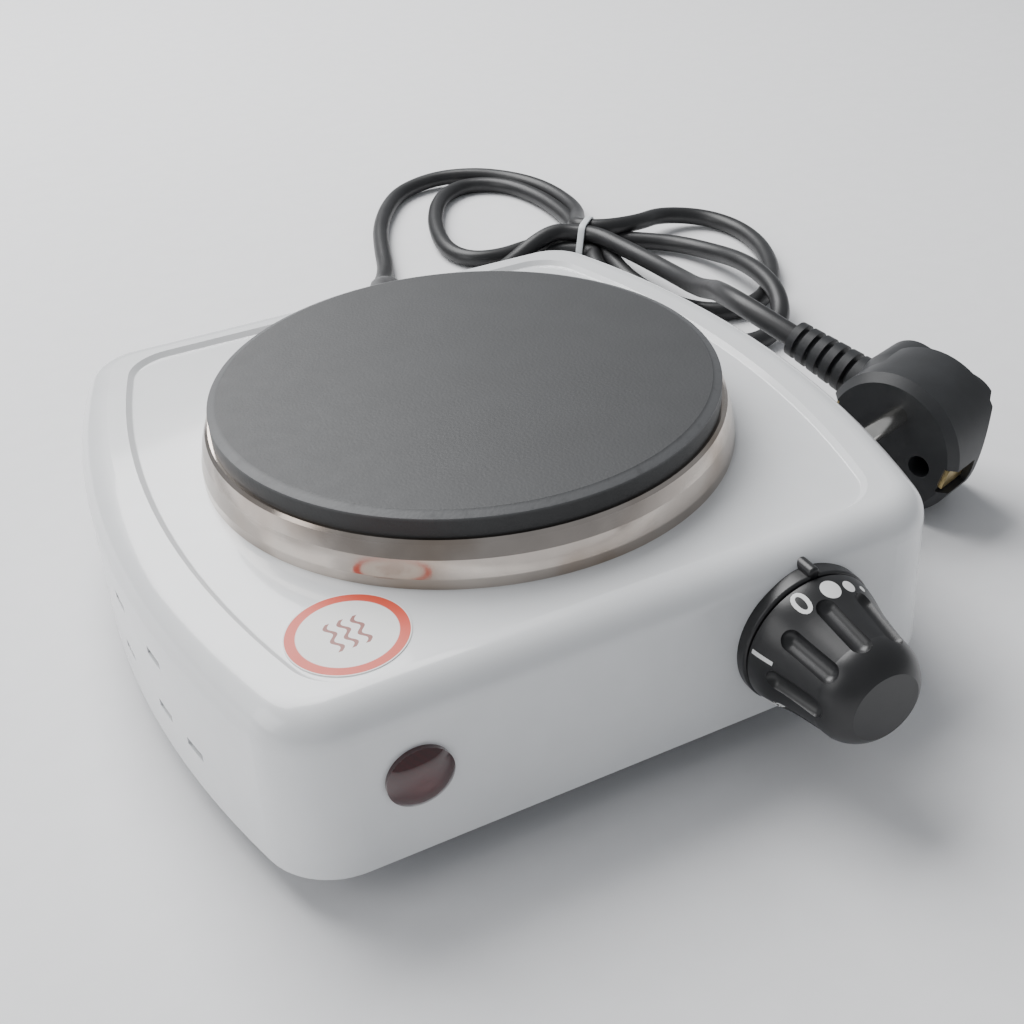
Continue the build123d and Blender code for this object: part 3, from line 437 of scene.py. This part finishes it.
@dataclass
class Palette:
    """Every finish of the appliance, by the record's slot."""

    finishes: dict[str, Finish] = field(default_factory=dict)
    made: dict[str, bpy.types.Material] = field(default_factory=dict)

    def mix(self) -> None:
        """Chooses the finishes."""
        steel = dict(metallic=1.0, grain=0.15, grain_scale=1800.0)
        self.finishes = {
            "white_enamel": Finish("white_enamel", (0.80, 0.81, 0.82), 0.26, coat=0.5, mottle=0.012,
                                   gloss_change=0.05, grain=0.12, grain_scale=420.0,
                                   grain_depth=0.0001),
            "plate_iron": PlateFinish("plate_iron", (0.036, 0.037, 0.039), 0.52, mottle=0.05,
                                      mottle_scale=90.0, grain=0.35, grain_scale=1600.0,
                                      grain_depth=0.00012, centre=plate_centre(),
                                      top=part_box("heating_plate")[1].z),
            "ring_steel": HeatTint("ring_steel", (0.50, 0.45, 0.41), 0.14, metallic=1.0, grain=0.05,
                                   gloss_change=0.12),
            "zinc_steel": Finish("zinc_steel", (0.60, 0.61, 0.63), 0.34, **steel),
            "dark_steel": Finish("dark_steel", (0.30, 0.28, 0.26), 0.42, mottle=0.25, **steel),
            "brass_plated": Finish("brass_plated", (0.75, 0.58, 0.28), 0.30, **steel),
            "nickel_pin": Finish("nickel_pin", (0.78, 0.76, 0.72), 0.18, **steel),
            "silver": Finish("silver", (0.86, 0.86, 0.84), 0.2, **steel),
            "knob_black": Finish("knob_black", (0.016, 0.016, 0.017), 0.34, mottle=0.15, grain=0.12,
                                 grain_scale=3200.0),
            "plug_black": Finish("plug_black", (0.024, 0.025, 0.027), 0.46, mottle=0.15, grain=0.3,
                                 grain_scale=2800.0),
            "cord_black": Finish("cord_black", (0.017, 0.017, 0.018), 0.42, mottle=0.2, grain=0.25,
                                 grain_scale=1500.0),
            "foot_rubber": Finish("foot_rubber", (0.04, 0.04, 0.04), 0.75, mottle=0.2, grain=0.4),
            "lamp_red": LensFinish("lamp_red", (0.10, 0.006, 0.009), 0.08, coat=1.0, grain=0.0,
                                   gloss_change=0.02, centre=middle("lamp_lens")),
            "lamp_body": Finish("lamp_body", (0.74, 0.72, 0.68), 0.5),
            "bulb_glass": Finish("bulb_glass", (0.9, 0.85, 0.8), 0.05, mottle=0.02),
            "ceramic": Finish("ceramic", (0.84, 0.82, 0.76), 0.55, grain=0.3, grain_scale=1400.0),
            "insulation": Finish("insulation", (0.62, 0.59, 0.52), 0.9, mottle=0.15, grain=0.8,
                                 grain_scale=1100.0, grain_depth=0.0003),
            "label_white": LabelPrint("label_white", (0.86, 0.86, 0.84), 0.38, mottle=0.01,
                                      centre=middle("hot_label")),
            "wire_brown": Finish("wire_brown", (0.22, 0.10, 0.05), 0.5),
            "wire_blue": Finish("wire_blue", (0.05, 0.14, 0.48), 0.5),
            "wire_green": Finish("wire_green", (0.34, 0.54, 0.08), 0.5, mottle=0.4),
            "wire_white": Finish("wire_white", (0.78, 0.77, 0.73), 0.7, grain=0.5),
            "tie_grey": Finish("tie_grey", (0.66, 0.69, 0.70), 0.45),
            "dial_print": Finish("dial_print", (0.80, 0.80, 0.79), 0.5, mottle=0.03),
        }

    def material(self, slot: str) -> bpy.types.Material:
        """The material of a slot, made once.

        Args:
            slot: the finish's name.

        Returns:
            Its material.
        """
        if slot not in self.made:
            self.made[slot] = self.finishes[slot].build()
            if slot == "bulb_glass":
                shader = self.made[slot].node_tree.nodes["Principled BSDF"]
                shader.inputs["Alpha"].default_value = 0.35
        return self.made[slot]

    def dress(self, thing: bpy.types.Object, slot: str) -> None:
        """Gives an object one finish.

        Args:
            thing: a mesh or curve.
            slot: the finish's name.
        """
        thing.data.materials.clear()
        thing.data.materials.append(self.material(slot))


# ---------------------------------------------------------------- shared modelling steps
def begin() -> None:
    """Leaves edit mode and deselects everything before a new piece."""
    if bpy.context.object and bpy.context.object.mode != "OBJECT":
        bpy.ops.object.mode_set(mode="OBJECT")
    bpy.ops.object.select_all(action="DESELECT")


def settle(thing: bpy.types.Object, name: str, slot: str, body: Body, palette: Palette) -> None:
    """Names, dresses and mounts a finished piece.

    Args:
        thing: the piece, with its place in its mesh.
        name: the piece's name.
        slot: its finish.
        body: the body it moves with.
        palette: where finishes come from.
    """
    thing.name = name
    palette.dress(thing, slot)
    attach(thing, body.value)
    log.info("made %s", name)


@dataclass
class Carcass:
    """The CAD nodes that are shown as they are, with their finishes."""

    palette: Palette

    def dress(self) -> None:
        """Gives every CAD node the finish of its record slot."""
        for row in frame["record"]["subparts"]:
            node = frame["nodes"][row["node"]]
            self.palette.dress(node, row["material_slot"])
            log.info("finished %s", row["node"])


# ---------------------------------------------------------------- dial print
@dataclass
class Dial:
    """White numerals and dots printed round the knob's skirt."""

    palette: Palette
    reach: float = 6.1 * MM
    cap_height: float = 4.6 * MM
    first_angle: float = -22.8
    step: float = 53.5
    lift: float = 0.03 * MM
    thickness: float = 0.06 * MM
    boldness: float = 0.1 * MM
    layer: float = 10.0 * MM
    knob_gap: float = 2.9 * MM
    skirt_radius: float = 13.6 * MM
    strip: float = 0.45 * MM
    dots: tuple[tuple[float, float], ...] = ((37.7, 0.65), (21.8, 1.3), (3.7, 2.0))
    cast_from: float = 0.03
    cap_share: float = 0.7
    cut_shift: float = 0.01 * MM
    dot_sides: int = 40
    numerals: int = 6
    tree: BVHTree | None = None
    hub: Vector = Vector((0, 0, 0))

    def laid(self, u: float, v: float, w: float, degrees: float) -> Vector:
        """Moves a point of a flat mark on to the knob's skirt.

        Args:
            u: distance round the knob.
            v: distance towards the case.
            w: height over the skin.
            degrees: the mark's place clockwise from the top, seen from in front.

        Returns:
            The point on the skirt.
        """
        hub = self.hub + Vector((0, v, 0))
        angle = math.radians(degrees) + u / self.skirt_radius
        out = Vector((math.sin(angle), 0, math.cos(angle)))
        hit = self.tree.ray_cast(hub + out * self.cast_from, -out)[0]
        return hub + out * ((hit - hub).length + self.lift + w)

    def numeral(self, text: str) -> bpy.types.Object:
        """One flat numeral as a thin solid about the origin.

        Args:
            text: the numeral.

        Returns:
            The mesh.
        """
        begin()
        bpy.ops.object.text_add(location=(0, 0, 0))
        label = bpy.context.object
        label.data.body = text
        label.data.size = self.cap_height / self.cap_share
        label.data.align_x = "CENTER"
        label.data.align_y = "CENTER"
        label.data.extrude = self.thickness / 2
        label.data.offset = self.boldness
        label.data.resolution_u = 4
        bpy.ops.object.convert(target="MESH")
        return bpy.context.object

    def dot(self, radius: float) -> bpy.types.Object:
        """One flat round dot about the origin.

        Args:
            radius: its radius in millimetres.

        Returns:
            The mesh.
        """
        begin()
        bpy.ops.mesh.primitive_cylinder_add(
            vertices=self.dot_sides, radius=radius * MM, depth=self.thickness, end_fill_type="NGON"
        )
        return bpy.context.object

    def slice_up(self) -> None:
        """Cuts the active stack of marks into narrow strips so that they can bend."""
        steps = int(self.cap_height / self.strip)
        bpy.ops.object.mode_set(mode="EDIT")
        for normal in ((1, 0, 0), (0, 1, 0)):
            for i in range(-steps, steps + 1):
                bpy.ops.mesh.select_all(action="SELECT")
                place = tuple(i * self.strip * n + self.cut_shift for n in normal)
                bpy.ops.mesh.bisect(plane_co=place, plane_no=normal)
        bpy.ops.object.mode_set(mode="OBJECT")

    def build(self) -> None:
        """Prints the whole dial from one stack of flat marks."""
        node = frame["nodes"]["knob"]
        self.tree = BVHTree.FromObject(node, bpy.context.evaluated_depsgraph_get())
        centre = middle("knob")
        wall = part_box("knob")[1].y + self.knob_gap
        self.hub = Vector((centre.x, wall - self.reach, centre.z))
        places = [self.first_angle - n * self.step for n in range(self.numerals)]
        places += [degrees for degrees, _ in self.dots]
        marks = [self.numeral(str(n)) for n in range(self.numerals)]
        marks += [self.dot(radius) for _, radius in self.dots]
        begin()
        for level, mark in enumerate(marks):
            mark.data.transform(Matrix.Translation((0, 0, level * self.layer)))
            mark.select_set(True)
        bpy.context.view_layer.objects.active = marks[0]
        bpy.ops.object.join()
        print_work = bpy.context.object
        self.slice_up()
        for vertex in print_work.data.vertices:
            u, v, w = vertex.co
            level = round(w / self.layer)
            vertex.co = self.laid(u, v, w - level * self.layer, places[level])
        settle(print_work, "dial_marks", "dial_print", Body.CONTROL, self.palette)


# ---------------------------------------------------------------- mains lead
@dataclass
class Lead:
    """The mains lead: one smooth line from the case through the tied loops to the plug."""

    palette: Palette
    diameter: float = 6.0 * MM
    length: float = 1.22
    tie_centre: Vector = Vector((117, 168, 0))
    tie_turn: float = -45.0
    low: float = 4.0
    high: float = 9.3
    pitch: float = 6.1
    half_pass: float = 5.0
    tie_wall: float = 0.8
    tie_width: float = 2.4
    tie_gap: float = 0.05
    tie_edge: float = 0.25
    tie_sides: int = 72
    plug_turn: float = 198.0
    plug_roll: float = 14.0
    plug_centre: Vector = Vector((100.5, -14.0, 18.6))
    lead_depth: float = 17.0
    relief_end: float = 41.0
    straight_lead: float = 12.0

    def strand(self, column: float, height: float, forward: bool = True) -> list[tuple]:
        """Two points of a strand that passes through the tie.

        Args:
            column: place across the bundle, in strand pitches.
            height: height of its centre, in millimetres.
            forward: True if it runs towards the right-hand loops.

        Returns:
            The points in the order that the strand runs.
        """
        turn = math.radians(self.tie_turn)
        along = Vector((math.cos(turn), math.sin(turn), 0))
        across = Vector((-math.sin(turn), math.cos(turn), 0))
        centre = self.tie_centre + across * column * self.pitch + Vector((0, 0, height))
        ends = [tuple(centre + along * side * self.half_pass) for side in (-1, 1)]
        return ends if forward else ends[::-1]

    def route(self) -> list[tuple]:
        """The lead's control points in millimetres, from the case to the plug."""
        exit_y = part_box("cord_bush")[1].y / MM
        tail = [
            (30, exit_y, 22), (30, 136, 22), (32, 155, 13), (39, 172, 5), (47, 188, 3),
            (52.5, 206, 3), (59, 225, 3), (69, 244, 3), (81, 259, 3), (98, 263.5, 4),
            (113, 257, 4.5), (124, 248, 3.6), (131, 234, 3.2), (132.5, 216, 3.2),
            (130, 199, 3.6), (122.5, 185.5, 6),
        ]
        far_loop = [
            (137, 165.5, 8.6), (151, 173.5, 6), (166.5, 168.5, 3.6),
            (172, 154, 3.1), (170, 137, 3.1), (163.5, 121, 3.1), (154.5, 107, 3.1),
            (143, 97, 3.1), (131, 95, 3.1), (121.5, 101, 3.1), (116.5, 113, 3.1),
            (115.5, 128, 3.1), (116.5, 143, 3.3), (119.5, 156, 3.8),
        ]
        left_loop = [
            (109, 177.5, 3.6), (99, 179, 3.1), (87, 176.5, 3.1), (76.5, 180, 3.1), (72.8, 192, 3.1),
            (76, 209, 3.1), (82.5, 227, 3.1), (92, 243, 3.1), (103.5, 250.5, 3.1),
            (114.5, 247.5, 3.1), (122, 238, 3.1), (125.4, 222, 3.1), (125.3, 205, 3.1),
            (123, 190, 3.4),
        ]
        near_loop = [
            (135, 160.5, 4), (145.5, 150, 3.8), (149.5, 133, 5.5), (148.5, 117, 8.6),
            (147, 103, 9.4), (144, 90, 8.6), (138, 79, 5.5), (128, 72.5, 3.4), (116.5, 75, 3.1),
            (109, 85, 3.1), (107.5, 99, 3.1), (107.5, 114, 3.1), (108, 129, 3.1), (109.5, 143, 3.3),
            (112.5, 154.5, 3.8),
        ]
        hidden_loop = [
            (103, 169.5, 3.4), (97, 160, 3.1), (91, 149, 3.1), (82, 139, 3.1), (71, 136, 3.1),
            (64, 143, 3.1), (65, 153, 3.1), (74, 161, 3.1), (86, 166.5, 4.5), (98, 170.5, 8.4),
            (106, 171.5, 10),
        ]
        lead = [
            (120, 147, 9.4), (121.5, 131, 9.6), (121, 113, 11), (117.5, 96, 14.5),
            (111.5, 81, 21), (105, 67.5, 27.5), (100.5, 54, 31.5), self.lead_out(self.straight_lead),
            self.lead_out(0.0),
        ]
        return [
            *tail, *self.strand(0.5, self.high), *far_loop, *self.strand(0, self.low, False),
            *left_loop, *self.strand(1, self.low), *near_loop, *self.strand(-1, self.low, False),
            *hidden_loop, *self.strand(-0.5, self.high), *lead,
        ]

    def lead_out(self, distance: float) -> tuple:
        """A point straight out of the plug's strain relief.

        Args:
            distance: how far past its tip, in millimetres.

        Returns:
            The point in millimetres.
        """
        turn, roll = math.radians(self.plug_turn), math.radians(self.plug_roll)
        pins = Vector((math.cos(turn), math.sin(turn), 0))
        level = Vector((math.sin(turn), -math.cos(turn), 0))
        out = level * math.cos(roll) + Vector((0, 0, math.sin(roll)))
        root = self.plug_centre - pins * self.lead_depth
        return tuple(root + out * (self.relief_end + distance))

    def cable(self) -> bpy.types.Object:
        """Draws the lead as a round curve.

        Returns:
            The curve.
        """
        curve = bpy.data.curves.new("mains_lead", "CURVE")
        curve.dimensions = "3D"
        spline = curve.splines.new("NURBS")
        points = [Vector(p) * MM for p in self.route()]
        spline.points.add(len(points) - 1)
        for point, place in zip(spline.points, points):
            point.co = (*place, 1.0)
        spline.order_u = 3
        spline.use_endpoint_u = True
        spline.resolution_u = 10
        curve.bevel_depth = self.diameter / 2
        curve.bevel_resolution = 6
        curve.use_fill_caps = True
        cable = bpy.data.objects.new("mains_lead", curve)
        bpy.context.scene.collection.objects.link(cable)
        return cable

    def tie(self) -> bpy.types.Object:
        """Makes the band drawn tight round the bundle.

        Returns:
            The band.
        """
        begin()
        bpy.ops.mesh.primitive_circle_add(vertices=self.tie_sides, radius=1.0)
        band = bpy.context.object
        bpy.ops.object.mode_set(mode="EDIT")
        bpy.ops.mesh.select_all(action="SELECT")
        bpy.ops.mesh.extrude_region_move(TRANSFORM_OT_translate={"value": (0, 0, 1)})
        bpy.ops.object.mode_set(mode="OBJECT")
        turn = math.radians(self.tie_turn)
        along = Vector((math.cos(turn), math.sin(turn), 0))
        across = Vector((-math.sin(turn), math.cos(turn), 0))
        strands = [(c * self.pitch, self.low) for c in (-1, 0, 1)]
        strands += [(c * self.pitch, self.high) for c in (-0.5, 0.5)]
        reach = self.diameter / MM / 2 + self.tie_gap
        for vertex in band.data.vertices:
            side = Vector((vertex.co.x, vertex.co.y)).normalized()
            b, z = max(strands, key=lambda s: s[0] * side.x + s[1] * side.y)
            depth = (vertex.co.z - 0.5) * self.tie_width
            flat = self.tie_centre + across * (b + side.x * reach) + along * depth
            vertex.co = Vector((flat.x, flat.y, z + side.y * reach)) * MM
        bpy.ops.object.mode_set(mode="EDIT")
        bpy.ops.mesh.select_all(action="SELECT")
        bpy.ops.mesh.normals_make_consistent(inside=False)
        bpy.ops.object.mode_set(mode="OBJECT")
        bpy.ops.object.modifier_add(type="SOLIDIFY")
        wall = band.modifiers[-1]
        wall.thickness = self.tie_wall * MM
        wall.offset = 1.0
        bpy.ops.object.modifier_apply(modifier=wall.name)
        bpy.ops.object.modifier_add(type="BEVEL")
        edge = band.modifiers[-1]
        edge.width = self.tie_edge * MM
        edge.segments = 2
        edge.limit_method = "ANGLE"
        bpy.ops.object.modifier_apply(modifier=edge.name)
        bpy.ops.object.shade_smooth_by_angle(angle=math.radians(40))
        return band

    def build(self) -> None:
        cable = self.cable()
        settle(cable, "mains_lead", "cord_black", Body.HOUSING, self.palette)
        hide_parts("cord_tail", "cord_hank", "cord_lead")
        tie = self.tie()
        settle(tie, "lead_tie", "tie_grey", Body.HOUSING, self.palette)
        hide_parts("cord_tie")
        start = self.route()[0]
        tuple(c * MM for c in start)


# ---------------------------------------------------------------- studio
@dataclass
class Studio:
    """Pale floor, soft light and the camera."""

    eye: Vector = Vector((-0.0944, -0.2223, 0.1877))
    yaw: float = -24.184
    pitch: float = 33.958
    roll: float = -3.615
    lens: float = 45.7
    sensor: float = 36.0

    def camera(self) -> None:
        """Places the camera."""
        yaw, pitch, roll = (math.radians(a) for a in (self.yaw, self.pitch, self.roll))
        ahead = Vector((
            -math.sin(yaw) * math.cos(pitch), math.cos(yaw) * math.cos(pitch), -math.sin(pitch)))
        level = Vector((math.cos(yaw), math.sin(yaw), 0))
        above = level.cross(ahead)
        right = level * math.cos(roll) + above * math.sin(roll)
        up = above * math.cos(roll) - level * math.sin(roll)
        data = bpy.data.cameras.new("camera")
        data.lens = self.lens
        data.sensor_width = self.sensor
        data.clip_start = 0.01
        camera = bpy.data.objects.new("camera", data)
        turned = Matrix((right, up, -ahead)).transposed().to_4x4()
        camera.matrix_world = Matrix.Translation(self.eye) @ turned
        bpy.context.scene.collection.objects.link(camera)
        bpy.context.scene.camera = camera

    def floor(self) -> None:
        """Lays the floor."""
        begin()
        bpy.ops.mesh.primitive_plane_add(size=8.0, location=(0, 0, 0))
        floor = bpy.context.object
        floor.name = "floor"
        material = Finish("floor", (0.86, 0.86, 0.87), 0.7, mottle=0.01, grain=0.0).build()
        floor.data.materials.append(material)

    def lamp(self, name: str, place: Vector, size: float, power: float) -> None:
        """Hangs one area lamp aimed at the appliance.

        Args:
            name: the lamp's name.
            place: where it hangs.
            size: its side in metres.
            power: its power in watts.
        """
        data = bpy.data.lights.new(name, "AREA")
        data.energy = power
        data.size = size
        lamp = bpy.data.objects.new(name, data)
        lamp.location = place
        aim = Vector((0.02, 0.02, 0.03)) - place
        lamp.rotation_euler = aim.to_track_quat("-Z", "Y").to_euler()
        bpy.context.scene.collection.objects.link(lamp)

    def world(self) -> None:
        """Sets the pale surroundings."""
        world = bpy.data.worlds.new("studio")
        bpy.context.scene.world = world
        world.use_nodes = True
        background = world.node_tree.nodes["Background"]
        background.inputs["Color"].default_value = (0.93, 0.96, 1.0, 1.0)
        background.inputs["Strength"].default_value = 0.40

    def build(self) -> None:
        """Sets up the whole studio."""
        self.camera()
        self.floor()
        self.world()
        self.lamp("overhead", Vector((-0.15, 0.75, 0.95)), 0.9, 24.0)
        self.lamp("side", Vector((-0.9, 0.1, 0.5)), 0.6, 3.0)
        log.info("studio ready")


def main() -> None:
    """Builds every piece in order."""
    logging.basicConfig(level=logging.INFO, format="%(message)s")
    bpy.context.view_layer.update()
    palette = Palette()
    palette.mix()
    Studio().build()
    Carcass(palette).dress()
    Lead(palette).build()
    Dial(palette).build()


if __name__ == "__main__":
    main()
